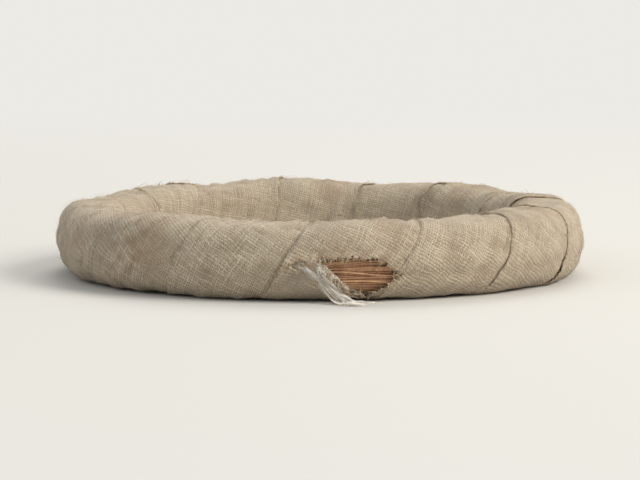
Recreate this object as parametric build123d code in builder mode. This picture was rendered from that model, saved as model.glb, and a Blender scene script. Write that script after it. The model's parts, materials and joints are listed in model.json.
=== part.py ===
from build123d import *
import math
import os

os.makedirs("parts", exist_ok=True)

# A coil of soft annealed binding wire, bound in thin film and then in a strip of hessian that is
# wound through the bore, turn after turn, round the whole ring.
# Millimetres, +Z up. The origin is the middle of the bottom, on the coil's own axis.

# Wrapped coil
outer_diameter = 500.0
bore_diameter = 360.0
coil_height = 68.0
corner_radius = 22.0
outer_crown = 3.0
outer_corner_count = 3
bore_corner_count = 2

# Hessian strip: each turn laps the turn before it by a part of its width
strip_turns = 15
cloth_thickness = 1.2
wrap_thickness = 2.6
edge_rise = 40.0
edge_lean = -6.5
first_lap_azimuth = -49.0
hidden_lap_angle = 5.0

# Film between the hessian and the wire
film_thickness = 0.3
layer_clearance = 0.15

# Wire, the side of the square groove between its turns, and how far they are cut past the tear
wire_diameter = 1.6
groove_side = 0.85
bared_margin = 3.0

# Tear in the outer face, seen from outside: a straight top, and a ragged lower edge
tear_azimuth = -82.0
tear_top = 40.0
tear_bottom = 6.0
tear_width = 74.0
tear_corner_height = 24.0
tear_left_height = 14.0
tear_fillet = 4.0
film_lip = 3.0

# Small slit beside the tear, where a lap's edge gapes
slit_offset = -55.0
slit_height = 34.0
slit_length = 14.0
slit_width = 7.0

outer_radius = outer_diameter / 2
bore_radius = bore_diameter / 2
mean_radius = (outer_radius + bore_radius) / 2
ring_width = outer_radius - bore_radius
lap_angle = 360.0 / strip_turns
half_lap = math.radians(lap_angle / 2)


def ring_outline(bore_side, outer_side, low, high, radius, outer_count):
    """Corner points of a ring section; its rounded corners are drawn as tangent flats."""
    limited_radius = min(radius, 0.45 * min(outer_side - bore_side, high - low))
    inner_centre = bore_side + limited_radius
    outer_centre = outer_side - limited_radius
    low_centre = low + limited_radius
    high_centre = high - limited_radius
    corners = [
        (outer_centre, high_centre, 0, outer_count),
        (inner_centre, high_centre, 90, bore_corner_count),
        (inner_centre, low_centre, 180, bore_corner_count),
        (outer_centre, low_centre, 270, outer_count),
    ]
    points = []
    for centre_x, centre_z, start, count in corners:
        reach = limited_radius / math.cos(math.pi / 4 / count)
        for step in range(count):
            angle = math.radians(start + (step + 0.5) * 90 / count)
            points.append((centre_x + reach * math.cos(angle), centre_z + reach * math.sin(angle)))
    return points


def inner_outline(inset):
    """The ring outline a depth below the wrapped surface on every side."""
    return ring_outline(
        bore_radius + inset,
        outer_radius - outer_crown / 2 - inset,
        inset,
        coil_height - inset,
        corner_radius - inset,
        bore_corner_count,
    )


def draw_outline(points):
    """Fill a closed outline in the sketch that is being drawn."""
    with BuildLine() as outline:
        Polyline(*points, close=True)
    make_face(outline.edges())


def draw_tear(sketch, inset):
    """Outline of the tear, flat, in width and height; the inset narrows it on all sides."""
    half = tear_width / 2 - inset
    top = tear_top - inset
    bottom = tear_bottom + inset
    corners = [
        (-half, top),
        (half / 2, top),
        (half, tear_corner_height),
        (half / 5, bottom),
        (-half / 3, tear_left_height + inset),
    ]
    draw_outline(corners)
    fillet(sketch.vertices(), tear_fillet)


# Plane of the tear: its normal points out of the ring, its x runs round the ring
tear_direction = Vector(1, 0, 0).rotate(Axis.Z, tear_azimuth)
tear_plane = Plane(
    origin=tear_direction * mean_radius,
    x_dir=Vector(0, 1, 0).rotate(Axis.Z, tear_azimuth),
    z_dir=tear_direction,
)

# One turn of the strip. It is revolved about an axis that is shifted and tilted a little, so that
# along the turn its surface sinks by one cloth thickness, outside and on top. The next turn's edge
# then stands that much above it, which is the step of each lap.
axis_shift = cloth_thickness / (2 * math.sin(half_lap))
axis_tilt = math.atan(axis_shift / mean_radius)
turn_origin = Vector(0, -axis_shift, 0)
turn_up = Vector(0, math.sin(axis_tilt), math.cos(axis_tilt))
turn_plane = Plane(origin=turn_origin, x_dir=(-1, 0, 0), z_dir=Vector(-1, 0, 0).cross(turn_up))
trim_allowance = 2 * cloth_thickness

# Plane of a lap's edge: it climbs the outer face at a slant and runs on nearly radially across the top
edge_slope = edge_rise / coil_height
edge_sweep = edge_lean / ring_width
edge_normal = Vector(edge_sweep, 1, -edge_slope)
first_edge = Plane(
    origin=Vector(outer_radius, 0, coil_height / 2).rotate(Axis.Z, -lap_angle / 2),
    z_dir=edge_normal.rotate(Axis.Z, -lap_angle / 2),
)
last_edge = Plane(
    origin=Vector(outer_radius, 0, coil_height / 2).rotate(Axis.Z, lap_angle / 2 + hidden_lap_angle),
    z_dir=edge_normal.rotate(Axis.Z, lap_angle / 2 + hidden_lap_angle),
)

turn_outside = outer_radius - cloth_thickness / 2
turn_corners = ring_outline(
    bore_radius - trim_allowance,
    turn_outside - outer_crown,
    -trim_allowance,
    coil_height - cloth_thickness / 2,
    corner_radius,
    outer_corner_count,
)
turn_outline = [(turn_outside, coil_height / 2)] + turn_corners
with BuildPart() as strip_turn:
    with BuildSketch(turn_plane) as turn_section:
        draw_outline(turn_outline)
    revolve(axis=Axis(turn_origin, turn_up))
    split(bisect_by=first_edge, keep=Keep.TOP)
    split(bisect_by=last_edge, keep=Keep.BOTTOM)

# All turns joined, pressed flat below and trimmed true in the bore, hollow for what they wrap
with BuildPart() as hessian_wrap:
    with PolarLocations(0, strip_turns, first_lap_azimuth + lap_angle / 2):
        add(strip_turn.part)
    split(bisect_by=Plane.XY, keep=Keep.TOP)
    with BuildSketch(Plane.XY) as bore:
        Circle(bore_radius)
    extrude(amount=2 * coil_height, mode=Mode.SUBTRACT)
    with BuildSketch(Plane.XZ) as cavity_section:
        draw_outline(inner_outline(wrap_thickness))
    revolve(axis=Axis.Z, mode=Mode.SUBTRACT)
    with BuildSketch(tear_plane) as hessian_tear:
        draw_tear(hessian_tear, 0)
        with Locations((slit_offset, slit_height)):
            Ellipse(slit_length / 2, slit_width / 2)
    extrude(amount=ring_width, mode=Mode.SUBTRACT)

# Film, a thin closed skin with a slightly smaller hole behind the tear
film_inset = wrap_thickness + layer_clearance
with BuildPart() as film_wrap:
    with BuildSketch(Plane.XZ) as film_outside:
        draw_outline(inner_outline(film_inset))
    revolve(axis=Axis.Z)
    with BuildSketch(Plane.XZ) as film_inside:
        draw_outline(inner_outline(film_inset + film_thickness))
    revolve(axis=Axis.Z, mode=Mode.SUBTRACT)
    with BuildSketch(tear_plane) as film_tear:
        draw_tear(film_tear, film_lip)
    extrude(amount=ring_width, mode=Mode.SUBTRACT)

# Wire, one turned solid with its bore. Its turns are cut where the tear bares them, as a groove
# between each two, from the lower corner up the outer side of the coil to the top of the tear.
wire_inset = film_inset + film_thickness + layer_clearance
wire_outline = inner_outline(wire_inset)
bared_angle = math.degrees(tear_width / outer_radius) + bared_margin
bared_plane = Plane.XZ.rotated((0, 0, tear_azimuth - bared_angle / 2))
outer_side = wire_outline[0][0]
bared_side = Polyline(wire_outline[-2], wire_outline[-1], (outer_side, tear_top))
bared_turns = int(bared_side.length / wire_diameter)

with BuildPart() as wire_coil:
    with BuildSketch(Plane.XZ) as wire_section:
        draw_outline(wire_outline)
    revolve(axis=Axis.Z)
    with BuildSketch(bared_plane) as grooves:
        for turn in range(bared_turns):
            share = (turn + 0.5) / bared_turns
            with Locations(bared_side @ share):
                Rectangle(groove_side, groove_side, rotation=bared_side.tangent_angle_at(share) + 45)
    revolve(axis=Axis.Z, revolution_arc=bared_angle, mode=Mode.SUBTRACT)

pieces = {"hessian_wrap": hessian_wrap, "film_wrap": film_wrap, "wire_coil": wire_coil}
for name, piece in pieces.items():
    piece.part.label = name
    export_step(piece.part, f"parts/{name}.step")
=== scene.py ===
import json
import math

import bmesh
import bpy
import numpy as np
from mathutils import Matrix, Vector
from mathutils.bvhtree import BVHTree


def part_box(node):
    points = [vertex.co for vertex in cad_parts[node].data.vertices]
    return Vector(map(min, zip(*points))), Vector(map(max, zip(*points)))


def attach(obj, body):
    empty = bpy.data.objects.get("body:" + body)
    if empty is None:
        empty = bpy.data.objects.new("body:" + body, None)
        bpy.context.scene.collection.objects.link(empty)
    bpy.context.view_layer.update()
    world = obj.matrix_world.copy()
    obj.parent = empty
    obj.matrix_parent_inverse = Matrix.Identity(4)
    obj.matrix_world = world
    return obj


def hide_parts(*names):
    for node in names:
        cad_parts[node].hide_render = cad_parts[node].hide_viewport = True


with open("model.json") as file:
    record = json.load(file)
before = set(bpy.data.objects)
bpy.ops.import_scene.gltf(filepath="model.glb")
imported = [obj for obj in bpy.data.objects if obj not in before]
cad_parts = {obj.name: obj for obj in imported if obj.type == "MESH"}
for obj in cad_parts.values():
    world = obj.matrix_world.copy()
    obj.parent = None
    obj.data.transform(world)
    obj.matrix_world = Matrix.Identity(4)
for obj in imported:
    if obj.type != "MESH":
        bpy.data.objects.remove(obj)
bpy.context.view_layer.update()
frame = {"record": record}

# The strip of hessian is drawn flat, by turns wound (t) and place across (v), and then wound in code.

# The wrapped coil, in metres: its size is the frame's, its rounding is the part's
MM = 0.001
wrap_low, wrap_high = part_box("hessian_wrap")
OUTER = max(wrap_high[0], -wrap_low[0], wrap_high[1], -wrap_low[1])
HEIGHT = wrap_high[2]
BORE = next(m["dims"]["r_mm"] for m in frame["record"]["mounts"] if m["name"] == "bore") * MM
CORNER = 22 * MM
CROWN = 3 * MM

# Steps of the section: in each arc, all round, in the smoothing of normals, and in half its outer side
ARC_POINTS = 60
SECTION_STEPS = 1440
NORMAL_STEPS = 25
SIDE_STEPS = int(0.22 * SECTION_STEPS)

# How many waves make up a random field, over a flat surface and round the ring
FLAT_WAVES, RING_WAVES = 26, 14

# Hessian strip and how it is wound. Its slant is shared unevenly: more of it outside than in the bore.
CLOTH = 1.1 * MM
STRIP_WIDTH = 150 * MM
TURNS = 15
PITCH = math.tau / TURNS
SLANT_SHARE = 0.4
START_TURN = -0.25
END_TURN = TURNS + 0.03
GRID = 3.9 * MM
WARP_PITCH = 1.95 * MM
WEFT_PITCH = 2.15 * MM

# The lap at the tear's right end, by its turn, and the azimuth of the lap after it
TEAR_LAP = 7
NEXT_LAP_AZIMUTH = math.radians(-49)
EDGE_AZIMUTH = NEXT_LAP_AZIMUTH + (TURNS - TEAR_LAP - 1) * PITCH

# How far the strip's two edges stand up: everywhere, and more where they are loose
TRAILING_STAND, TRAILING_LOOSE = 0.45 * MM, 0.75 * MM
LEADING_STAND, LEADING_LOOSE = 0.27 * MM, 0.45 * MM
EDGE_SOFTNESS = 5 * MM

# Where the trailing edge gapes or lies flat: middle and spread in turns from the tear's lap, and height
GAPES = ((0.94, 0.075, 3.0 * MM), (-1.06, 0.06, 1.1 * MM))
FLATS = ((1.17, 0.1), (0, 0.2), (-0.87, 0.1))
FLATTENED = 0.8

# Folds: depth outside, depth added in the bore, and slant. Puff: swell of a lap, and over what share.
OUTER_FOLDS, INNER_FOLDS, FOLD_SLANT = 0.27, 0.33, 0.6
PUFF, PUFF_SHARE = 0.7 * MM, 0.7

# Tear, seen from outside: across from its middle and up from the floor. Its rim stands up, most below.
TEAR_AZIMUTH = math.radians(-82)
TEAR = MM * np.array([
    (-39, 39), (-10, 40), (18.5, 38.5), (38, 24),
    (24, 13.5), (9, 6.5), (-6, 9), (-23, 22),
])
TEAR_LEFT = TEAR[[0, -1, -2]]
SLIT = MM * np.array([(-62, 30), (-58, 34.5), (-52, 37.5), (-47.5, 36.5), (-50, 33), (-55, 30.5)])
SLIT_MIDDLE = MM * np.array([-55, 34])
RIM_STAND, LOW_RIM_STAND, RIM_REACH = 0.8 * MM, 1.3 * MM, 4.5 * MM

# How far round the holes the cloth and the film are divided finely
CLOTH_REFINED, FILM_REFINED = 8 * MM, 11 * MM

# Film, and the strands of it that hang from the slit and from the left edge of the tear
FILM_THICKNESS = 0.08 * MM
STRAND_POINTS = 60
SHRED_COLUMNS = 7
STRING_SIDES = 5
SLIT_SHREDS, EDGE_SHREDS = 11, 13
SLIT_STRINGS, EDGE_STRINGS = 28, 36
EDGE_STRAND_START = 0.25

# Wire, and how deep the film and the wire lie under the cloth
WIRE = 1.6 * MM
WIRE_SIDES = 8
WIRE_POINTS = 30
FILM_DEPTH = 1.7 * MM
BARED_DEPTH = 2.8 * MM
WIRE_DEPTH = 4.6 * MM

# Layers of bared wire from the outside in: one turn in so many, and how far they stray round the section
BARED_LAYERS = ((3, 0.018), (1, 0.004), (1, 0.004))
BARED_HALF_ANGLE = 0.34
BARED_SHARE = 0.4
TURN_STEP, LAYER_STEP = 1.1 * WIRE, 1.25 * MM

# Loose yarns and fibres: their numbers and sides, and where those along the strip may lie
TORN_YARNS = 200
LOOSE_FIBRES = 5200
YARN_SIDES, FIBRE_SIDES = 5, 3
GREATEST_LIFT = 3.5 * MM
LOWEST_FIBRE, HIGHEST_FIBRE = 2.5 * MM, HEIGHT + 9 * MM
HOLE_MARGIN = 1.5 * MM

# The largest angle that a random wave starts at, and what keeps a division from failing
WAVE_START = 6.0
TINY = 1e-12


def smooth(x):
    """Zero below 0, one above 1, and a soft step between."""
    x = np.clip(x, 0, 1)
    return x * x * (3 - 2 * x)


def bell(x, middle, spread):
    """One at the middle, falling off on both sides."""
    return np.exp(-(((x - middle) / spread) ** 2))


def fade(distance, reach):
    """One inside an edge, falling off outside it."""
    return np.exp(-np.maximum(distance, 0) / reach)


def wave_sum(along, across, phase, size):
    """A smooth field of about the given spread, from waves by their two wave numbers."""
    def value(a, b):
        total = 0
        for k_along, k_across, start in zip(along, across, phase):
            total = total + np.sin(k_along * a + k_across * b + start)
        return size * total / math.sqrt(len(phase) / 2)

    return value


def ripple(seed, along, across, size=1.0):
    """A smooth random field over a flat surface, with ripples of about the given lengths."""
    rng = np.random.default_rng(seed)
    k_along = rng.uniform(0.4, 1.6, FLAT_WAVES) * math.tau / along * rng.choice([-1, 1], FLAT_WAVES)
    k_across = rng.uniform(0.4, 1.6, FLAT_WAVES) * math.tau / across
    return wave_sum(k_along, k_across, rng.uniform(0, math.tau, FLAT_WAVES), size)


def ring_ripple(seed, lowest, highest, girth_waves, size=1.0):
    """A smooth random field round the ring and round its section, which closes on itself both ways."""
    rng = np.random.default_rng(seed)
    k_ring = rng.integers(lowest, highest + 1, RING_WAVES)
    k_girth = math.tau * rng.integers(-girth_waves, girth_waves + 1, RING_WAVES)
    return wave_sum(k_ring, k_girth, rng.uniform(0, math.tau, RING_WAVES), size)


sag_wide = ring_ripple(seed=11, lowest=1, highest=5, girth_waves=1, size=0.9 * MM)
sag_fine = ring_ripple(seed=12, lowest=5, highest=17, girth_waves=2, size=0.45 * MM)
top_wave = ring_ripple(seed=13, lowest=2, highest=9, girth_waves=0, size=1.1 * MM)
lap_wander = ripple(seed=21, along=0.7, across=1.0, size=3.0 * MM)
width_wander = ripple(seed=22, along=0.25, across=1.0, size=2.2 * MM)
edge_wander = ripple(seed=23, along=0.045, across=1.0, size=0.9 * MM)
edge_lift = ripple(seed=24, along=0.09, across=1.0)
fold_long = ripple(seed=31, along=0.13, across=0.013, size=MM)
fold_wide = ripple(seed=32, along=0.07, across=0.04, size=0.42 * MM)
fold_slant = ripple(seed=33, along=0.035, across=0.02, size=0.16 * MM)
ragged_rim = ripple(seed=41, along=0.009, across=0.009, size=0.9 * MM)
rim_curl = ripple(seed=42, along=0.03, across=0.03, size=0.8 * MM)
film_rim = ripple(seed=43, along=0.012, across=0.012, size=1.2 * MM)
film_crumple = ripple(seed=44, along=0.007, across=0.007)
film_crease = ripple(seed=45, along=0.0035, across=0.0035)
tear_stain = ripple(seed=61, along=0.03, across=0.02)
ring_stain = ring_ripple(seed=62, lowest=6, highest=22, girth_waves=3)


def section_table(inset):
    """Radius, height and outward normal round the section, by even steps from the outer side upwards."""
    outer, bore, top, bottom = OUTER - inset, BORE + inset, HEIGHT - inset, inset
    r = CORNER - inset / 2
    wall = (top - bottom) / 2 - r
    bulge = (wall * wall + CROWN * CROWN) / (2 * CROWN)
    points = []
    for z in wall * np.linspace(0, 1, ARC_POINTS, endpoint=False):
        points.append((outer - bulge + math.sqrt(bulge * bulge - z * z), z))
    for middle, start in ((outer - CROWN - r, 0), (bore + r, 90)):
        for turned in np.linspace(0, 90, ARC_POINTS, endpoint=start == 90):
            angle = math.radians(start + turned)
            points.append((middle + r * math.cos(angle), wall + r * math.sin(angle)))
    half = np.array(points + [(bore, 0)])
    mirrored = half[1:-1][::-1] * (1, -1)
    loop = np.vstack([half, mirrored, half[:1]])
    loop[:, 1] += (top + bottom) / 2
    step = np.linalg.norm(np.diff(loop, axis=0), axis=1)
    along = np.concatenate([[0], np.cumsum(step)])
    at = np.linspace(0, along[-1], SECTION_STEPS + 1)
    r_at = np.interp(at, along, loop[:, 0])
    z_at = np.interp(at, along, loop[:, 1])

    def smoothed(steps):
        wrapped = np.pad(steps, NORMAL_STEPS // 2, mode="wrap")
        return np.convolve(wrapped, np.ones(NORMAL_STEPS) / NORMAL_STEPS, "valid")

    dr, dz = smoothed(np.diff(r_at)), smoothed(np.diff(z_at))
    size = np.hypot(dr, dz)
    return {
        "q": np.linspace(0, 1, SECTION_STEPS + 1),
        "r": r_at,
        "z": z_at,
        "nr": np.append(dz / size, (dz / size)[0]),
        "nz": np.append(-dr / size, (-dr / size)[0]),
        "girth": float(along[-1]),
    }


SECTION = section_table(inset=2.5 * CLOTH)
GIRTH = SECTION["girth"]


def at_section(key, q):
    """A value from the table, at a share q of the way round the section."""
    return np.interp(np.mod(q, 1.0), SECTION["q"], SECTION[key])


def ring_place(theta, q, out):
    """Points at a height above the bundle's own surface, which is not quite even. None is below the floor."""
    r, z = at_section("r", q), at_section("z", q)
    nr, nz = at_section("nr", q), at_section("nz", q)
    h = out + sag_wide(theta, q) + sag_fine(theta, q)
    up = z + nz * h + top_wave(theta, q) * smooth(z / HEIGHT)
    lowest, softness = 0.1 * MM, 0.8 * MM
    up = lowest + softness * np.logaddexp(0, up / softness)
    across = r + nr * h
    return np.stack([across * np.cos(theta), across * np.sin(theta), up], axis=-1)


def lean(t):
    """The angle between the strip and the section plane."""
    speed = PITCH * (1 + SLANT_SHARE * np.cos(math.tau * t)) * at_section("r", t)
    return np.arctan(speed / GIRTH)


def half_width(t):
    return STRIP_WIDTH / 2 + width_wander(t * GIRTH, 0)


FIRST_CENTRE = EDGE_AZIMUTH + (STRIP_WIDTH / 2) / (OUTER * math.cos(lean(0.0)))


def centre(t):
    """Azimuth of the strip's middle line after t turns."""
    turned = t + SLANT_SHARE * np.sin(math.tau * t) / math.tau
    return FIRST_CENTRE + PITCH * turned + lap_wander(t * GIRTH, 0) / OUTER


def strip_map(t, v):
    """Azimuth, and turns wound, of a point of the flat strip."""
    angle = lean(t)
    own = t - v * np.sin(angle) / GIRTH
    theta = centre(t) + v * np.cos(angle) / at_section("r", own)
    return theta, own


def turned_from(theta, azimuth):
    """The angle from an azimuth, between minus and plus half a turn."""
    return np.mod(theta - azimuth + math.pi, math.tau) - math.pi


def layers_below(theta, own):
    """How much strip that was laid before lies under each point, in layers."""
    q = np.mod(own, 1.0)
    total = np.zeros_like(theta)
    for turn in range(-1, TURNS + 1):
        t = q + turn
        v = turned_from(theta, centre(t)) * at_section("r", q) * np.cos(lean(t))
        inside = smooth((half_width(t) - np.abs(v)) / EDGE_SOFTNESS + 0.5)
        begun = smooth((t - START_TURN) * GIRTH / EDGE_SOFTNESS + 0.5)
        total += (t < own - 0.5) * inside * begun
    return total


def edge_stands(t, own):
    """How far the trailing and the leading edge stand up: at random, but near the tear as in the photo."""
    loose = np.maximum(edge_lift(t * GIRTH, 0), 0) ** 1.5
    turns = own - TEAR_LAP
    gape = sum(height * bell(turns, middle, spread) for middle, spread, height in GAPES)
    flat = FLATTENED * sum(bell(turns, middle, spread) for middle, spread in FLATS)
    trailing = (TRAILING_STAND + TRAILING_LOOSE * loose) * (1 - flat) + gape
    return trailing, LEADING_STAND + LEADING_LOOSE * loose


def strip_point(t, v, lift=0.0):
    """A point of the wound strip, from its place on the flat strip."""
    theta, own = strip_map(t, v)
    s = t * GIRTH
    from_trailing, from_leading = half_width(t) + v, half_width(t) - v
    trailing, leading = edge_stands(t, own)
    edge = trailing * fade(from_trailing, EDGE_SOFTNESS) + leading * fade(from_leading, EDGE_SOFTNESS)
    inner = 0.5 - 0.5 * np.cos(math.tau * own)
    folds = (OUTER_FOLDS + INNER_FOLDS * inner) * fold_long(s, v) + fold_wide(s, v)
    folds += fold_slant(s + FOLD_SLANT * v, v - FOLD_SLANT * s)
    puff = PUFF * np.sin(math.pi * np.clip(from_trailing / (PUFF_SHARE * STRIP_WIDTH), 0, 1))
    out = CLOTH * (1 + layers_below(theta, own)) + edge + folds + puff + lift
    return ring_place(theta, np.mod(own, 1.0), out)


# The tear's own plane
def tear_frame(points):
    """Each point's place across and up in the tear's plane, and whether it is on the outer side."""
    theta = np.arctan2(points[:, 1], points[:, 0])
    outside = np.hypot(points[:, 0], points[:, 1]) > (OUTER + BORE) / 2
    return turned_from(theta, TEAR_AZIMUTH) * OUTER, points[:, 2], outside


def line_distance(x, y, line):
    """Distance from a line through some points."""
    nearest = np.inf
    for start, end in zip(line, line[1:]):
        dx, dy = end - start
        from_x, from_y = x - start[0], y - start[1]
        share = np.clip((from_x * dx + from_y * dy) / (dx * dx + dy * dy), 0, 1)
        nearest = np.minimum(nearest, np.hypot(from_x - share * dx, from_y - share * dy))
    return nearest


def outline_distance(x, y, outline):
    """Distance from a closed outline, negative inside."""
    closed = np.vstack([outline, outline[:1]])
    inside = np.zeros(np.shape(x), bool)
    for (ax, ay), (bx, by) in zip(closed, closed[1:]):
        crossing = ax + (bx - ax) * (y - ay) / (by - ay + TINY)
        inside ^= ((ay > y) != (by > y)) & (x < crossing)
    distance = line_distance(x, y, closed)
    return np.where(inside, -distance, distance)


def hole_distance(x, y):
    """Distance from the nearer of the tear and the slit beside it, negative inside."""
    return np.minimum(outline_distance(x, y, TEAR), outline_distance(x, y, SLIT))


# Mesh helpers
def unit(vectors):
    return vectors / (np.linalg.norm(vectors, axis=-1, keepdims=True) + TINY)


def new_object(name, verts, faces):
    mesh = bpy.data.meshes.new(name)
    mesh.from_pydata(np.asarray(verts).tolist(), [], faces)
    mesh.validate()
    mesh.shade_smooth()
    piece = bpy.data.objects.new(name, mesh)
    bpy.context.scene.collection.objects.link(piece)
    return piece


def grid_faces(rows, columns, close_rows=False, close_columns=False):
    i, j = np.meshgrid(
        np.arange(rows if close_rows else rows - 1),
        np.arange(columns if close_columns else columns - 1),
        indexing="ij",
    )
    i2, j2 = (i + 1) % rows, (j + 1) % columns
    quads = np.stack([i * columns + j, i2 * columns + j, i2 * columns + j2, i * columns + j2], axis=-1)
    return quads.reshape(-1, 4).tolist()


def tubes(name, paths, radius, sides):
    """Many closed tubes as one mesh. Paths are tubes x points x 3, radii tubes x points."""
    paths = np.asarray(paths, float)
    count, points = paths.shape[:2]
    tangent = unit(np.gradient(paths, axis=1))
    whole = paths[:, -1] - paths[:, 0]
    spare = np.eye(3)[np.argmin(np.abs(whole), axis=1)]
    side = unit(np.cross(tangent, spare[:, None]))
    up = np.cross(side, tangent)
    turn = np.arange(sides) * math.tau / sides
    r = np.broadcast_to(radius, (count, points))[:, :, None, None]
    ring = paths[:, :, None] + r * (
        side[:, :, None] * np.cos(turn)[None, None, :, None]
        + up[:, :, None] * np.sin(turn)[None, None, :, None]
    )
    one = np.array(grid_faces(points, sides, close_columns=True))
    base = (np.arange(count) * points * sides)[:, None]
    faces = (one[None] + base[:, :, None]).reshape(-1, 4).tolist()
    first = (np.arange(sides)[None] + base).tolist()
    last = (np.arange(sides)[::-1][None] + (points - 1) * sides + base).tolist()
    return new_object(name, ring.reshape(-1, 3), faces + first + last)


def add_attribute(piece, name, values):
    layer = piece.data.attributes.new(name, "FLOAT_VECTOR", "POINT")
    layer.data.foreach_set("vector", np.asarray(values, np.float32).ravel())


def add_thickness(piece, thickness, offset):
    solid = piece.modifiers.new("thickness", "SOLIDIFY")
    solid.thickness = thickness
    solid.offset = offset


def mesh_points(piece):
    points = np.zeros(len(piece.data.vertices) * 3)
    piece.data.vertices.foreach_get("co", points)
    return points.reshape(-1, 3)


def move_points(piece, points):
    piece.data.vertices.foreach_set("co", points.ravel())
    piece.data.update()


def face_middles(bm):
    return np.array([face.calc_center_median() for face in bm.faces])


def chosen_faces(bm, chosen):
    bm.faces.ensure_lookup_table()
    return [bm.faces[i] for i in np.flatnonzero(chosen)]


def subdivide_faces(bm, chosen, cuts):
    edges = {edge for face in chosen_faces(bm, chosen) for edge in face.edges}
    bmesh.ops.subdivide_edges(bm, edges=list(edges), cuts=cuts, use_grid_fill=True)


def delete_faces(bm, chosen):
    bmesh.ops.delete(bm, geom=chosen_faces(bm, chosen), context="FACES")


def smooth_rim(bm, rounds):
    """Evens out the steps along the open edges of a mesh."""
    for _ in range(rounds):
        moves = []
        for vert in bm.verts:
            beside = [e.other_vert(vert).co for e in vert.link_edges if len(e.link_faces) == 1]
            if len(beside) == 2:
                moves.append((vert, vert.co * 0.5 + (beside[0] + beside[1]) * 0.25))
        for vert, place in moves:
            vert.co = place


# Hessian strip
def flat_strip():
    """The strip as a flat grid: turns, place across, and zero."""
    rows = np.linspace(START_TURN, END_TURN, int(round((END_TURN - START_TURN) * GIRTH / GRID)) + 1)
    columns = np.linspace(-1, 1, int(round(STRIP_WIDTH / GRID)) + 1)
    share, t = np.meshgrid(columns, rows, indexing="ij")
    v = share * half_width(t) + edge_wander(t * GIRTH, 0) * np.abs(share) ** 8
    flat = np.stack([t, v, np.zeros_like(t)], axis=-1).reshape(-1, 3)
    return new_object("hessian_strip", flat, grid_faces(len(columns), len(rows)))


def wound_places(bm):
    """Where the faces of the flat strip come once it is wound."""
    middle = face_middles(bm)
    return tear_frame(strip_point(middle[:, 0], middle[:, 1]))


def cut_holes(strip):
    """Cuts the tear and the slit out of the flat strip, where its wound place is inside them."""
    bm = bmesh.new()
    bm.from_mesh(strip.data)
    across, up, outside = wound_places(bm)
    subdivide_faces(bm, (hole_distance(across, up) < CLOTH_REFINED) & outside, cuts=2)
    across, up, outside = wound_places(bm)
    delete_faces(bm, (hole_distance(across, up) < ragged_rim(across, up)) & outside)
    bm.to_mesh(strip.data)
    bm.free()


def rim_lift(points):
    """How far the cloth stands up round the tear, and how it puckers round the slit."""
    across, up, outside = tear_frame(points)
    from_tear = outline_distance(across, up, TEAR)
    low_side = smooth((30 * MM - up) / (20 * MM))
    lift = (RIM_STAND + LOW_RIM_STAND * low_side + rim_curl(across, up)) * fade(from_tear, RIM_REACH)
    lift *= from_tear < 25 * MM
    from_slit = outline_distance(across, up, SLIT)
    around = np.arctan2(up - SLIT_MIDDLE[1], across - SLIT_MIDDLE[0])
    pucker = np.sin(5 * around + 1.0) + 0.6 * np.sin(9 * around)
    gape = 1.3 * fade(from_slit, 3 * MM) - 1.4 * fade(from_slit, 9 * MM)
    gape += 0.55 * pucker * fade(from_slit, 8 * MM)
    return np.where(outside, lift + gape * MM, 0)


def make_strip():
    """The whole strip, first flat, with the holes cut out of it, then wound."""
    strip = flat_strip()
    cut_holes(strip)
    flat = mesh_points(strip)
    t, v = flat[:, 0], flat[:, 1]
    lift = rim_lift(strip_point(t, v))
    move_points(strip, strip_point(t, v, lift))
    add_attribute(strip, "strip", np.stack([t * GIRTH, v, flat[:, 2]], axis=-1))
    add_thickness(strip, 0.9 * CLOTH, -1)
    return strip


# Film and wire
def make_shell(name, depth, rows, columns):
    """A closed skin at a depth under the bundle's surface, all round the ring."""
    theta, q = np.meshgrid(
        np.linspace(0, math.tau, rows, endpoint=False),
        np.linspace(0, 1, columns, endpoint=False),
        indexing="ij",
    )
    points = ring_place(theta, q, -depth * np.ones_like(theta)).reshape(-1, 3)
    return new_object(name, points, grid_faces(rows, columns, close_rows=True, close_columns=True))


def make_film():
    """The film under the cloth, torn open less than the cloth at the tear's left, and more elsewhere."""
    film = make_shell("film_skin", FILM_DEPTH, rows=200, columns=60)
    bm = bmesh.new()
    bm.from_mesh(film.data)
    for cuts in (3, 1):
        across, up, outside = tear_frame(face_middles(bm))
        near_rim = np.abs(hole_distance(across, up)) < FILM_REFINED
        subdivide_faces(bm, near_rim & outside, cuts)
    across, up, outside = tear_frame(face_middles(bm))
    left = bell(line_distance(across, up, TEAR_LEFT), 0, 9 * MM)
    lip = (-3.0 + 5.0 * left) * MM + film_rim(across, up)
    gone = (outline_distance(across, up, TEAR) < -lip) | (outline_distance(across, up, SLIT) < -2.2 * MM)
    delete_faces(bm, gone & outside)
    smooth_rim(bm, rounds=6)
    bm.to_mesh(film.data)
    bm.free()
    points = mesh_points(film)
    across, up, outside = tear_frame(points)
    near = fade(np.abs(outline_distance(across, up, TEAR)) - 4 * MM, 6 * MM) * outside
    crumple = film_crumple(across, up) + 0.6 * film_crease(across, up)
    outwards = unit(points * (1, 1, 0))
    move_points(film, points + outwards * (near * (0.9 + 0.5 * crumple) * MM)[:, None])
    film.data.shade_smooth()
    add_attribute(film, "along", np.ones(len(points))[:, None] * (1, 0, 0))
    add_thickness(film, FILM_THICKNESS, -1)
    return film


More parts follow.
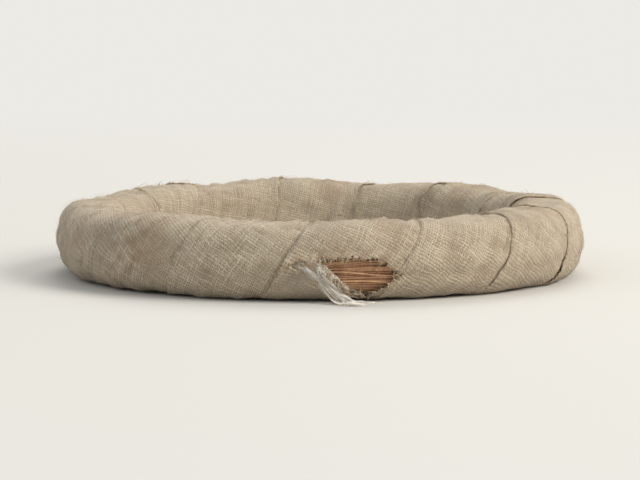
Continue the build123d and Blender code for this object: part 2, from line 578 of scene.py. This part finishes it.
def make_bared_wires():
    """The turns of wire that the tear bares: two close layers, and some strays that cross over them."""
    rng = np.random.default_rng(51)
    turns = int(BARED_SHARE * GIRTH / WIRE)
    share = np.linspace(-1, 1, WIRE_POINTS)
    theta = TEAR_AZIMUTH + BARED_HALF_ANGLE * share
    paths = []
    for layer, (every, spread) in enumerate(BARED_LAYERS):
        for i in range(0, turns, every):
            q = (i - 0.5 * turns + 0.5 * layer) * TURN_STEP / GIRTH
            slope = rng.normal(0, spread)
            bow = rng.normal(0, 0.5 * spread)
            at = q + slope * share + bow * np.sin(3 * share + rng.uniform(0, WAVE_START))
            depth = BARED_DEPTH + layer * LAYER_STEP + rng.uniform(-0.4, 0.3) * MM
            paths.append(ring_place(theta, at, -depth * np.ones_like(theta)))
    wires = tubes("bared_wire", paths, WIRE / 2, WIRE_SIDES)
    tones = np.repeat(rng.uniform(0, 1, (len(paths), 3)), WIRE_POINTS * WIRE_SIDES, axis=0)
    add_attribute(wires, "tone", tones)
    return wires


# Routes of the strands of torn film, by places in millimetres: across and up in the tear's plane
def tear_point(across, up, out):
    """A point at a height above the bundle's surface."""
    steps = np.arange(-SIDE_STEPS, SIDE_STEPS)
    q = np.interp(up * MM, SECTION["z"][:-1][steps], steps / SECTION_STEPS)
    return ring_place(TEAR_AZIMUTH + across * MM / OUTER, q, out * MM)


def over_cloth(cloth, across, up, clear):
    """A point just outside the cloth."""
    theta = TEAR_AZIMUTH + across * MM / OUTER
    inwards = Vector((-math.cos(theta), -math.sin(theta), 0))
    start, reach = OUTER + 60 * MM, 100 * MM
    hit = cloth.ray_cast(-inwards * start + Vector((0, 0, up * MM)), inwards, reach)[0]
    surface = np.array(hit) if hit is not None else tear_point(across, up, 2 * CLOTH / MM)
    return surface - np.array(inwards) * clear * MM


def floor_point(across, out, up):
    """A point in front of the coil."""
    theta = TEAR_AZIMUTH + across * MM / OUTER
    r = OUTER + out * MM
    return np.array([r * math.cos(theta), r * math.sin(theta), up * MM])


def smooth_path(points, count):
    """A smooth line through a few points."""
    points = np.asarray(points, float)
    at = np.linspace(0, len(points) - 1, count)
    around = np.vstack([2 * points[:1] - points[1:2], points, 2 * points[-1:] - points[-2:-1]])
    i = np.minimum(at.astype(int), len(points) - 2)
    f = (at - i)[:, None]
    p0, p1, p2, p3 = around[i], around[i + 1], around[i + 2], around[i + 3]
    square = 2 * p0 - 5 * p1 + 4 * p2 - p3
    cube = 3 * p1 - p0 - 3 * p2 + p3
    return 0.5 * (2 * p1 + (p2 - p0) * f + square * f**2 + cube * f**3)


def strand_line(rng, points, reach, wander):
    """A smooth line through the points, cut to a length, that wanders more and more towards its end."""
    path = smooth_path(points, 2 * STRAND_POINTS)
    length = np.concatenate([[0], np.cumsum(np.linalg.norm(np.diff(path, axis=0), axis=1))])
    keep = np.linspace(0, min(reach, length[-1]), STRAND_POINTS)
    path = np.stack([np.interp(keep, length, path[:, k]) for k in range(3)], axis=-1)
    share = np.linspace(0, 1, STRAND_POINTS)[:, None]
    wave = 0
    for speed in (4.0, 9.0, 17.0):
        start = speed * rng.uniform(0.7, 1.3, 3) * share + rng.uniform(0, WAVE_START, 3)
        wave = wave + np.sin(start) * 3 / speed
    path = path + wander * wave * share**0.7
    path[:, 2] = np.maximum(path[:, 2], 0.5 * MM)
    return path


def slit_path(rng, cloth, fan, reach):
    """Middle line of a strand: out of the slit, down beside the tear, and loose on the floor."""
    stand = np.abs(rng.normal(0, 1.0, 4))
    bend = rng.uniform(-1, 1)
    points = [
        tear_point(-54 + 4 * fan, 34.5 + 1.2 * fan, -1.5),
        over_cloth(cloth, -49 + 3 * fan, 31.5, 0.6 + 0.3 * stand[0]),
        over_cloth(cloth, -41 + 3 * fan, 25, 0.6 + 0.5 * stand[1]),
        over_cloth(cloth, -31 + 4 * fan, 15, 0.8 + 0.8 * stand[2]),
        floor_point(-22 + 6 * fan, 2, 5.5 + 1.5 * stand[3]),
        floor_point(-14 + 8 * fan, 7 + 3 * bend, 0.9 + 1.8 * stand[3]),
        floor_point(-6 + 9 * fan + 5 * bend, 12 + 5 * bend, 0.6 + 2.0 * stand[0]),
        floor_point(5 + 10 * fan + 8 * bend, 15 + 5 * bend, 0.6 + 0.8 * stand[1]),
    ]
    return strand_line(rng, points, reach, wander=1.0 * MM)


def edge_path(rng, cloth, fan, reach):
    """Middle line of a strand: over the left edge of the tear, along it, and down to the others."""
    stand = np.abs(rng.normal(0, 1.0, 4))
    bend = rng.uniform(-1, 1)
    low = rng.uniform(0, 1) ** 1.8
    across, up = -37 + 19 * low, 36 - 17 * low
    end_across, end_up = -17 + 4 * low + 3 * fan, 8 - 2 * low
    points = [
        tear_point(across + 2, up, -1.2),
        over_cloth(cloth, across + 1 + 0.5 * fan, up - 4, 1.0 + 0.3 * stand[0]),
        over_cloth(cloth, across + 2 + 1.5 * fan, up - 10, 0.5 + 0.4 * stand[0]),
        over_cloth(cloth, (across + end_across + 2) / 2, (up + end_up - 10) / 2, 0.6 + 0.5 * stand[1]),
        over_cloth(cloth, end_across, end_up, 0.8 + 0.8 * stand[2]),
        floor_point(-13 + 5 * fan, 3, 4.5 + stand[3]),
        floor_point(-8 + 7 * fan, 8 + 3 * bend, 0.9 + 1.8 * stand[3]),
        floor_point(9 * fan + 4 * bend, 13 + 5 * bend, 0.6 + 2.0 * stand[0]),
        floor_point(9 + 10 * fan + 7 * bend, 16 + 5 * bend, 0.6 + 0.8 * stand[1]),
    ]
    return strand_line(rng, points, reach, wander=0.9 * MM)


# Shreds and strings of torn film
def ribbon(path, width, twist, seed):
    """Points of a pleated ribbon along a path; its pleats run along it."""
    tangent = unit(np.gradient(path, axis=0))
    flat = unit(np.cross(tangent, unit(path * (1, 1, 0))))
    out = np.cross(flat, tangent)
    cross = flat * np.cos(twist)[:, None] + out * np.sin(twist)[:, None]
    lift = np.cross(tangent, cross)
    reach = np.linalg.norm(np.diff(path, axis=0), axis=1).sum()
    along = np.linspace(0, reach, len(path))
    s_at, w_at = np.meshgrid(along, np.linspace(-0.5, 0.5, SHRED_COLUMNS), indexing="ij")
    across = w_at * width[:, None]
    wide_pleats = ripple(seed, along=0.03, across=0.0032)
    fine_pleats = ripple(seed + 50, along=0.008, across=0.004)
    pleat = wide_pleats(s_at, across) + 0.4 * fine_pleats(s_at, across)
    height = 0.5 * pleat * MM * np.minimum(1, width[:, None] / (3 * MM))
    points = path[:, None] + cross[:, None] * across[..., None] + lift[:, None] * height[..., None]
    points[..., 2] = np.maximum(points[..., 2], 0.3 * MM)
    return points.reshape(-1, 3)


def add_along(piece, slit_count, count, around):
    """How far each point is along its strand. Strands from the tear's edge start part way, less faint."""
    start = np.where(np.arange(count) < slit_count, 0, EDGE_STRAND_START)[:, None]
    along = start + (1 - start) * np.linspace(0, 1, STRAND_POINTS)
    add_attribute(piece, "along", np.repeat(along.ravel(), around)[:, None] * (1, 0, 0))


def make_shreds(cloth):
    """Narrow shreds of film, which flare towards their loose ends."""
    rng = np.random.default_rng(71)
    share = np.linspace(0, 1, STRAND_POINTS)
    verts = []
    for i in range(SLIT_SHREDS + EDGE_SHREDS):
        if i < SLIT_SHREDS:
            least = 0.1
            path = slit_path(rng, cloth, rng.uniform(-1, 1), rng.uniform(55, 96) * MM)
        else:
            least = 0.14
            path = edge_path(rng, cloth, rng.uniform(-1, 1), rng.uniform(30, 66) * MM)
        flare = least + (1 - least) * bell(share, rng.uniform(0.65, 0.95), 0.2)
        width = rng.uniform(1.2, 4.2) * MM * flare * (1 - 0.75 * share**5)
        twist = rng.uniform(-0.5, 0.5) + rng.uniform(-3.5, 3.5) * share
        verts.append(ribbon(path, width, twist, seed=72 + i))
    one = np.array(grid_faces(STRAND_POINTS, SHRED_COLUMNS))
    faces = np.concatenate([one + i * STRAND_POINTS * SHRED_COLUMNS for i in range(len(verts))]).tolist()
    shreds = new_object("film_shreds", np.vstack(verts), faces)
    add_along(shreds, SLIT_SHREDS, len(verts), SHRED_COLUMNS)
    add_thickness(shreds, FILM_THICKNESS, 0)
    return shreds


def make_strings(cloth):
    """Film drawn out into fine strings among the shreds."""
    rng = np.random.default_rng(78)
    paths = []
    for i in range(SLIT_STRINGS):
        paths.append(slit_path(rng, cloth, rng.uniform(-1.25, 1.25), rng.uniform(34, 100) * MM))
    for i in range(EDGE_STRINGS):
        paths.append(edge_path(rng, cloth, rng.uniform(-1.3, 1.3), rng.uniform(16, 70) * MM))
    share = np.linspace(0, 1, STRAND_POINTS)
    radius = rng.uniform(0.10, 0.26, (len(paths), 1)) * MM * (1 - 0.5 * share)
    strings = tubes("film_strings", paths, radius, STRING_SIDES)
    add_along(strings, SLIT_STRINGS, len(paths), STRING_SIDES)
    return strings


# Loose yarns and fibres
def boundary_points(piece, distance):
    """Middles of the open edges of a mesh near the outlines of the holes."""
    bm = bmesh.new()
    bm.from_mesh(piece.data)
    found = [(e.verts[0].co + e.verts[1].co) / 2 for e in bm.edges if len(e.link_faces) == 1]
    bm.free()
    found = np.array(found)
    across, up, outside = tear_frame(found)
    return found[(np.abs(hole_distance(across, up)) < distance) & outside]


def make_tear_threads(strip):
    """Broken yarns round the tear and the slit, bent into and out of them."""
    rng = np.random.default_rng(81)
    start = boundary_points(strip, 4 * MM)
    start = start[rng.permutation(len(start))[:TORN_YARNS]]
    each = (len(start), 1)
    across, up, _ = tear_frame(start)
    step = 0.5 * MM
    grad_across = hole_distance(across + step, up) - hole_distance(across - step, up)
    grad_up = hole_distance(across, up + step) - hole_distance(across, up - step)
    upwards = np.array([0, 0, 1.0])
    radial = unit(start * (1, 1, 0))
    sideways = np.cross(upwards, radial)
    into = -unit(grad_across[:, None] * sideways + grad_up[:, None] * upwards)
    turned = rng.normal(0, 0.5, each)
    along = np.cross(radial, into)
    heading = into * np.cos(turned) + along * np.sin(turned)
    hanging = smooth((up - 30 * MM) / (8 * MM))[:, None]
    length = rng.gamma(3.0, 1.2, each) * MM * (1 - 0.6 * hanging) + 0.8 * MM
    outward = rng.normal(0.25, 0.3, each)
    droop = rng.uniform(0.1, 0.7, each)
    shares = np.linspace(-0.35, 1, 8)
    paths = []
    for share in shares:
        free = max(share, 0)
        bent = radial * (outward * length * free - 0.3 * MM)
        fallen = -upwards * droop * length * free**2
        wiggle = along * 0.35 * MM * np.sin(5 * share + rng.uniform(0, WAVE_START, each)) * free
        paths.append(start + heading * length * share + bent + fallen + wiggle)
    radius = rng.uniform(0.16, 0.42, each) * MM * np.linspace(1, 0.55, len(shares))
    return tubes("tear_threads", np.stack(paths, axis=1), radius, YARN_SIDES)


def strip_fibres(name, t, v, turns, sides, lifts, radius):
    """Fibres from places on the strip, t and v, by how far their points go along it, across it and up."""
    points = strip_point(t + turns / GIRTH, v + sides, np.minimum(lifts, GREATEST_LIFT))
    heights = points[..., 2]
    across, up, outside = tear_frame(points[:, 0])
    over_hole = (hole_distance(across, up) < HOLE_MARGIN) & outside
    keep = (heights.min(axis=1) > LOWEST_FIBRE) & (heights.max(axis=1) < HIGHEST_FIBRE) & ~over_hole
    return tubes(name, points[keep], radius[keep], FIBRE_SIDES)


def make_edge_threads():
    """Frayed yarn ends along the trailing edge of each lap, and along the last lap's leading edge."""
    rng = np.random.default_rng(91)
    t = np.arange(START_TURN, END_TURN, WEFT_PITCH / GIRTH)
    t = t[rng.random(len(t)) < 0.85]
    last = np.arange(END_TURN - 0.9, END_TURN, WEFT_PITCH / GIRTH)
    edge = np.concatenate([-np.ones_like(t), np.ones_like(last)])[:, None]
    t = np.concatenate([t, last])[:, None]
    each = t.shape
    share = np.linspace(0, 1, 6)[None]
    rooted = 1.2 * MM
    long_ones = rng.random(each) < 0.14
    length = np.where(long_ones, rng.uniform(5, 11, each), rng.gamma(3, 0.95, each)) * MM
    v = edge * (half_width(t) - rooted)
    sides = edge * share * (length + rooted)
    bend = rng.normal(0, 0.35, each)
    turns = bend * length * share**2 + 0.3 * MM * np.sin(6 * share + rng.uniform(0, WAVE_START, each))
    drop = -0.75 * CLOTH * np.clip(share * (length + rooted) / rooted - 1, 0, 1)
    lifts = 0.15 * MM + drop + np.abs(rng.normal(0, 0.45, each)) * length * share**2
    radius = rng.uniform(0.14, 0.34, each) * MM * (1 - 0.45 * share)
    return strip_fibres("edge_threads", t, v, turns, sides, lifts, radius)


def make_end_threads():
    """Warp yarns left loose at the cut end of the strip."""
    rng = np.random.default_rng(95)
    v = np.arange(-0.47, 0.47, 1.5 * MM / STRIP_WIDTH)[:, None] * STRIP_WIDTH
    each = v.shape
    share = np.linspace(0, 1, 8)[None]
    rooted = 1.5 * MM
    length = rng.gamma(3, 2.6, each) * MM + 2 * MM
    turns = share * length - rooted
    bend = rng.normal(0, 0.25, each)
    sides = bend * length * share**2 + 0.5 * MM * np.sin(5 * share + rng.uniform(0, WAVE_START, each))
    drop = -0.8 * CLOTH * np.clip(turns / (2 * MM), 0, 1)
    lifts = 0.15 * MM + drop + np.abs(rng.normal(0, 0.18, each)) * length * share**2
    radius = rng.uniform(0.25, 0.42, each) * MM * (1 - 0.4 * share)
    return strip_fibres("end_threads", END_TURN * np.ones_like(v), v, turns, sides, lifts, radius)


def make_fuzz():
    """Short loose fibres that stand off the cloth."""
    rng = np.random.default_rng(97)
    each = (LOOSE_FIBRES, 1)
    t = rng.uniform(START_TURN + 0.1, END_TURN - 0.02, each)
    v = rng.uniform(-0.5, 0.12, each) * STRIP_WIDTH
    share = np.linspace(0, 1, 6)[None]
    heading = rng.uniform(0, math.tau, each)
    curve = rng.normal(0, 1.6, each)
    length = rng.gamma(3.2, 2.1, each) * MM + MM
    angle = heading + curve * share
    turns = length * share * np.cos(angle)
    sides = length * share * np.sin(angle)
    stand = np.abs(rng.normal(0, 0.16, each))
    lifts = 0.05 * MM + stand * length * np.sin(math.pi * share * rng.uniform(0.4, 1.0, each))
    radius = rng.uniform(0.05, 0.1, each) * MM * (1 - 0.6 * share)
    return strip_fibres("loose_fibres", t, v, turns, sides, lifts, radius)


# Pieces
strip = make_strip()
cloth = BVHTree.FromPolygons(mesh_points(strip).tolist(), [list(f.vertices) for f in strip.data.polygons])
bundle = make_shell("wire_bundle", WIRE_DEPTH, rows=240, columns=90)
bared = make_bared_wires()
film = make_film()
shreds = make_shreds(cloth)
strings = make_strings(cloth)
tear_threads = make_tear_threads(strip)
edge_threads = make_edge_threads()
end_threads = make_end_threads()
fuzz = make_fuzz()


class Shading:
    """Short calls for building the shader nodes of a material or of the world."""

    def __init__(self, owner):
        owner.use_nodes = True
        self.tree = owner.node_tree

    def link(self, value, socket):
        if isinstance(value, (int, float, tuple)):
            socket.default_value = value
        else:
            self.tree.links.new(value, socket)

    def node(self, kind, inputs=(), **settings):
        node = self.tree.nodes.new(kind)
        for key, value in settings.items():
            setattr(node, key, value)
        for key, value in dict(inputs).items():
            self.link(value, node.inputs[key])
        return node

    def math(self, operation, a, b=0.0, c=0.0):
        return self.node("ShaderNodeMath", {0: a, 1: b, 2: c}, operation=operation).outputs[0]

    def vector(self, operation, inputs):
        return self.node("ShaderNodeVectorMath", inputs, operation=operation)

    def attribute(self, name):
        return self.node("ShaderNodeAttribute", attribute_name=name).outputs["Vector"]

    def parts(self, vector):
        return self.node("ShaderNodeSeparateXYZ", {0: vector}).outputs

    def noise(self, vector, scale, detail=3.0, roughness=0.55):
        values = {"Vector": vector, "Scale": scale, "Detail": detail, "Roughness": roughness}
        return self.node("ShaderNodeTexNoise", values).outputs["Fac"]

    def stretch(self, vector, scale):
        return self.node("ShaderNodeMapping", {"Vector": vector, "Scale": scale}).outputs[0]

    def random(self, value):
        return self.node("ShaderNodeTexWhiteNoise", {"W": value}, noise_dimensions="1D").outputs["Value"]

    def span(self, value, low, high, to_low, to_high):
        values = {"Value": value, "From Min": low, "From Max": high, "To Min": to_low, "To Max": to_high}
        return self.node("ShaderNodeMapRange", values).outputs[0]

    def choose(self, factor, a, b):
        return self.node("ShaderNodeMix", {0: factor, 2: a, 3: b}, data_type="FLOAT").outputs[0]

    def mix(self, factor, a, b):
        return self.node("ShaderNodeMix", {0: factor, 6: a, 7: b}, data_type="RGBA").outputs[2]

    def bump(self, height, distance):
        return self.node("ShaderNodeBump", {"Height": height, "Distance": distance}).outputs[0]

    def blend_shaders(self, factor, a, b, output):
        blend = self.node("ShaderNodeMixShader", {0: factor, 1: a.outputs[0], 2: b.outputs[0]})
        self.link(blend.outputs[0], self.tree.nodes[output].inputs["Surface"])

    def seen_plainly(self):
        """One for rays from the camera, and for those that metal or film sends on."""
        ray = self.node("ShaderNodeLightPath").outputs
        sent_on = self.math("MAXIMUM", ray["Is Glossy Ray"], ray["Is Transmission Ray"])
        return self.math("MAXIMUM", ray["Is Camera Ray"], sent_on)


class Material(Shading):
    """A material, with its shader and the place on the object."""

    def __init__(self, name):
        self.material = bpy.data.materials.new(name)
        super().__init__(self.material)
        self.shader = self.tree.nodes["Principled BSDF"]
        self.place = self.node("ShaderNodeTexCoord").outputs["Object"]

    def finish(self, **sockets):
        for key, value in sockets.items():
            self.link(value, self.shader.inputs[key.replace("_", " ")])
        return self.material


def srgb(*values):
    """Linear colour from eight-bit display values above 10."""
    return tuple(((value / 255 + 0.055) / 1.055) ** 2.4 for value in values) + (1.0,)


def hessian_material():
    """Plain weave of uneven yarns, drawn on the flat strip, with painted shade low in the weave and below the
    slit, stains, dirt in patches, a darkening near the floor and a brown patch on the left side.
    """
    m = Material("hessian")
    flat = m.attribute("strip")
    wander = m.node("ShaderNodeTexNoise", {"Vector": flat, "Scale": 45.0, "Detail": 2.0}).outputs["Color"]
    centred = m.vector("SUBTRACT", {0: wander, 1: (0.5, 0.5, 0.5)}).outputs[0]
    shift = m.vector("SCALE", {0: centred, "Scale": 0.006}).outputs[0]
    woven = m.parts(m.vector("ADD", {0: flat, 1: shift}).outputs[0])
    weft_place = m.math("MULTIPLY", woven[0], 1 / WEFT_PITCH)
    warp_place = m.math("MULTIPLY", woven[1], 1 / WARP_PITCH)
    weft_number = m.math("FLOOR", weft_place)
    warp_number = m.math("FLOOR", warp_place)
    ragged = m.math("MULTIPLY_ADD", m.noise(flat, 2600.0, 1.0), 0.2, -0.6)
    across_weft = m.math("ADD", m.math("FRACT", weft_place), ragged)
    across_warp = m.math("ADD", m.math("FRACT", warp_place), ragged)
    parity = m.math("PINGPONG", m.math("ADD", weft_number, warp_number), 1.0)
    sign = m.math("MULTIPLY_ADD", parity, 2.0, -1.0)
    slub_warp = m.noise(m.stretch(flat, (60.0, 700.0, 0.0)), 1.0, 2.0)
    slub_weft = m.noise(m.stretch(flat, (700.0, 60.0, 0.0)), 1.0, 2.0)

    def yarn_height(across, slub, other, over):
        """A round yarn that goes over and under the others."""
        width = m.math("MULTIPLY_ADD", slub, 0.36, 0.19)
        share = m.math("DIVIDE", across, width)
        rest = m.math("SUBTRACT", 1.0, m.math("MULTIPLY", share, share))
        dome = m.math("SQRT", m.math("MAXIMUM", rest, 0.0))
        wave = m.math("MULTIPLY", m.math("COSINE", m.math("MULTIPLY", other, math.pi)), over)
        body = m.math("GREATER_THAN", dome, 0.02)
        height = m.math("MULTIPLY_ADD", wave, 0.35, m.math("MULTIPLY_ADD", dome, 0.6, 0.4))
        return m.math("MULTIPLY", height, body)

    def fibres(turned):
        """Fine streaks along a yarn, at the slant of its twist."""
        rotation = (0, 0, math.radians(turned))
        slanted = m.node("ShaderNodeMapping", {"Vector": flat, "Rotation": rotation}).outputs[0]
        return m.noise(m.stretch(slanted, (450.0, 3400.0, 0.0)), 1.0, 2.0, 0.7)

    warp = yarn_height(across_warp, slub_warp, across_weft, sign)
    weft = yarn_height(across_weft, slub_weft, across_warp, m.math("MULTIPLY", sign, -1.0))
    height = m.math("MAXIMUM", warp, weft)
    on_top = m.math("GREATER_THAN", warp, weft)
    streak = m.choose(on_top, fibres(110), fibres(20))
    tone_warp = m.math("MULTIPLY_ADD", m.random(warp_number), 0.4, slub_warp)
    tone_weft = m.math("MULTIPLY_ADD", m.random(weft_number), 0.4, slub_weft)
    tone = m.choose(on_top, tone_weft, tone_warp)
    tone = m.math("MULTIPLY_ADD", m.math("SUBTRACT", streak, 0.5), 1.5, tone)
    yarn = m.mix(m.span(tone, 0.25, 1.15, 0.0, 1.0), srgb(157, 140, 115), srgb(217, 205, 183))
    # Painted shade: the low parts of the weave are darkened toward a shaded brown. These are the yarns'
    # edges, the places where a yarn dips under another, and the holes between the yarns.
    colour = m.mix(m.span(height, 0.3, 0.85, 0.0, 1.0), srgb(108, 90, 69), yarn)
    cloud = m.noise(m.place, 9.0, 4.0)
    patch = m.noise(m.place, 38.0, 4.0, 0.65)
    fleck = m.noise(flat, 900.0, 2.0)
    brown, floor_darkening_and_grime, painted_slit_shade = m.parts(m.attribute("marks"))
    layers = (
        (m.span(cloud, 0.35, 0.7, 0.0, 0.45), srgb(176, 160, 138)),
        (m.span(patch, 0.5, 0.78, 0.0, 0.5), srgb(136, 116, 92)),
        (m.span(fleck, 0.62, 0.8, 0.0, 0.45), srgb(108, 86, 62)),
        (brown, srgb(126, 88, 60)),
        # Darker within a few millimetres of the floor, and dirt in random patches.
        (floor_darkening_and_grime, srgb(112, 100, 86)),
        # Painted shade: a greyish darkening of the sag below the slit.
        (painted_slit_shade, srgb(146, 137, 122)),
    )
    for share, over in layers:
        colour = m.mix(share, colour, over)
    normal = m.bump(m.math("MULTIPLY_ADD", streak, 0.45, height), 0.6 * MM)
    return m.finish(Base_Color=colour, Roughness=0.92, Normal=normal, Specular_IOR_Level=0.15,
                    Sheen_Weight=0.12, Sheen_Roughness=0.5)


def rust_material():
    """Annealed wire brown with rust: its tone differs by the turn, with dark and orange specks."""
    m = Material("rusty_wire")
    lightness, scale, _ = m.parts(m.attribute("tone"))
    wide = m.math("MULTIPLY_ADD", lightness, 0.34, m.noise(m.place, 60.0, 4.0))
    fine = m.noise(m.place, 420.0, 5.0, 0.7)
    speck = m.noise(m.place, 1500.0, 3.0, 0.7)
    colour = m.mix(m.span(wide, 0.42, 0.86, 0.0, 1.0), srgb(163, 120, 89), srgb(228, 183, 142))
    layers = (
        (m.span(scale, 0.6, 1.0, 0.0, 0.35), srgb(122, 98, 82)),
        (m.span(fine, 0.52, 0.76, 0.0, 0.7), srgb(98, 74, 60)),
        (m.span(speck, 0.52, 0.7, 0.0, 0.6), srgb(104, 76, 58)),
        (m.span(speck, 0.3, 0.46, 0.55, 0.0), srgb(226, 168, 120)),
    )
    for share, over in layers:
        colour = m.mix(share, colour, over)
    rough = m.span(fine, 0.3, 0.7, 0.55, 0.9)
    normal = m.bump(m.math("MULTIPLY_ADD", speck, 0.5, fine), 0.25 * MM)
    return m.finish(Base_Color=colour, Roughness=rough, Metallic=0.2, Normal=normal)


def fibre_material():
    """Loose jute, for yarn ends and fibres."""
    m = Material("jute_fibre")
    tone = m.noise(m.place, 140.0, 3.0)
    colour = m.mix(m.span(tone, 0.35, 0.65, 0.0, 1.0), srgb(158, 134, 102), srgb(222, 206, 178))
    fine = m.noise(m.place, 1500.0, 2.0)
    return m.finish(Base_Color=colour, Roughness=0.85, Normal=m.bump(fine, 0.1 * MM),
                    Specular_IOR_Level=0.25, Sheen_Weight=0.15)


def film_material():
    """Crumpled thin film, part clear, fainter where a strand begins."""
    m = Material("film")
    crease = m.noise(m.place, 260.0, 4.0, 0.65)
    cloudy = m.noise(m.place, 70.0, 3.0)
    colour = m.mix(m.span(cloudy, 0.4, 0.75, 0.0, 1.0), srgb(252, 247, 237), srgb(236, 225, 205))
    body = m.span(m.parts(m.attribute("along"))[0], 0.1, 0.65, 0.3, 1.0)
    alpha = m.math("MULTIPLY", m.span(crease, 0.36, 0.66, 0.6, 0.98), body)
    normal = m.bump(m.noise(m.place, 420.0, 4.0, 0.7), 0.6 * MM)
    return m.finish(Base_Color=colour, Roughness=0.36, Normal=normal, Alpha=alpha, IOR=1.5,
                    Specular_IOR_Level=0.6)


def add_stains_dirt_and_shade(piece):
    """Shares, for each point of the cloth, of brown (stains round the tear and in patches, and a brown patch
    on the left side), of dirt in patches with a darkening near the floor, and of painted shade below the
    slit.
    """
    points = mesh_points(piece)
    across, up, outside = tear_frame(points)
    theta = np.arctan2(points[:, 1], points[:, 0])
    patchy = tear_stain(across, up)
    ring_patch = ring_stain(theta, points[:, 2] / GIRTH)
    brown = fade(hole_distance(across, up), 7 * MM) * outside * (0.25 + 0.2 * patchy)
    brown += smooth((ring_patch - 0.7) / 1.5) * 0.26
    # A brown patch on the left side, about 135 degrees round, in places.
    brown += bell(theta, math.radians(-135), 0.14) * outside * smooth((patchy + 0.4) / 1.6) * 0.36
    # First term: the cloth is darkened within a few millimetres of the floor. Second term: dirt in random
    # patches.
    floor_darkening_and_grime = 0.3 * fade(points[:, 2], 7 * MM) + 0.25 * smooth((-ring_patch - 0.6) / 1.5)
    # Painted shade: a soft greyish patch below and a little right of the slit, where the cloth sags.
    painted_slit_shade = 0.55 * bell(across, -52 * MM, 11 * MM) * bell(up, 19 * MM, 11 * MM) * outside
    marks = np.stack([np.clip(brown, 0, 0.85), np.clip(floor_darkening_and_grime, 0, 0.7), painted_slit_shade], axis=-1)
    add_attribute(piece, "marks", marks)


# Finishes and bodies. The table's third column, the slot, is not read.
add_stains_dirt_and_shade(strip)
hessian = hessian_material()
fibre = fibre_material()
rust = rust_material()
plastic = film_material()
looks = (
    (strip, hessian, "hessian"),
    (tear_threads, fibre, "hessian"),
    (edge_threads, fibre, "hessian"),
    (end_threads, fibre, "hessian"),
    (fuzz, fibre, "hessian"),
    (film, plastic, "film"),
    (shreds, plastic, "film"),
    (strings, plastic, "film"),
    (bundle, rust, "wire"),
    (bared, rust, "wire"),
)
for piece, material, slot in looks:
    piece.data.materials.append(material)
    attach(piece, "root")
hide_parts("hessian_wrap")
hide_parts("film_wrap")
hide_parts("wire_coil")

# Floor, light and camera. The floor turns pale from one distance to another, as pale as the sky.
PALE = srgb(236, 234, 229)
FLOOR_REACH = 40
PALE_FROM, PALE_AT = 0.45, 2.4


def make_floor():
    corners = FLOOR_REACH * np.array([(-1, -1, 0), (1, -1, 0), (1, 1, 0), (-1, 1, 0)])
    floor = new_object("floor", corners, [(0, 1, 2, 3)])
    m = Material("floor")
    m.finish(Base_Color=srgb(206, 204, 198), Roughness=0.95)
    away = m.vector("LENGTH", {0: m.place}).outputs["Value"]
    far = m.math("MULTIPLY", m.span(away, PALE_FROM, PALE_AT, 0.0, 1.0), m.seen_plainly())
    glow = m.node("ShaderNodeEmission", {"Color": PALE, "Strength": 1.0})
    m.blend_shaders(far, m.shader, glow, "Material Output")
    floor.data.materials.append(m.material)
    return floor


def make_world():
    """Soft light from all sides, in which the camera sees the pale tone instead."""
    world = bpy.data.worlds.new("studio")
    bpy.context.scene.world = world
    w = Shading(world)
    room = w.tree.nodes["Background"]
    room.inputs["Color"].default_value = (0.95, 0.97, 1.0, 1)
    room.inputs["Strength"].default_value = 0.55
    sky = w.node("ShaderNodeBackground", {"Color": PALE})
    w.blend_shaders(w.seen_plainly(), room, sky, "World Output")


def place_towards(piece, target, azimuth, elevation, distance):
    """Puts a lamp or camera at an azimuth and elevation round a target, facing it."""
    a, e = math.radians(azimuth), math.radians(elevation)
    direction = Vector((math.cos(a) * math.cos(e), math.sin(a) * math.cos(e), math.sin(e)))
    piece.location = target + direction * distance
    piece.rotation_euler = (-direction).to_track_quat("-Z", "Y").to_euler()
    bpy.context.scene.collection.objects.link(piece)


def make_lamp(name, azimuth, elevation, distance, size, power, colour):
    data = bpy.data.lights.new(name, "AREA")
    data.size = size
    data.energy = power
    data.color = colour
    place_towards(bpy.data.objects.new(name, data), Vector((0, 0, 0)), azimuth, elevation, distance)


def make_camera():
    """The camera, straight in front and nearly as level as the photo's."""
    camera = bpy.data.objects.new("camera", bpy.data.cameras.new("camera"))
    place_towards(camera, Vector((0, 0, 0.03)), azimuth=-90, elevation=6, distance=2.9)
    camera.data.sensor_width = 36
    camera.data.lens = 172
    camera.data.clip_start = 0.01
    bpy.context.scene.camera = camera


floor = make_floor()
make_world()
make_lamp("key", azimuth=-22, elevation=37, distance=6.0, size=3.2, power=312, colour=(1.0, 0.95, 0.88))
make_lamp("fill", azimuth=-150, elevation=30, distance=6.4, size=4.4, power=50, colour=(0.9, 0.95, 1.0))
make_lamp("back", azimuth=80, elevation=50, distance=6.0, size=3.6, power=144, colour=(1.0, 0.97, 0.92))
make_camera()
bpy.context.scene.view_settings.view_transform = "Standard"
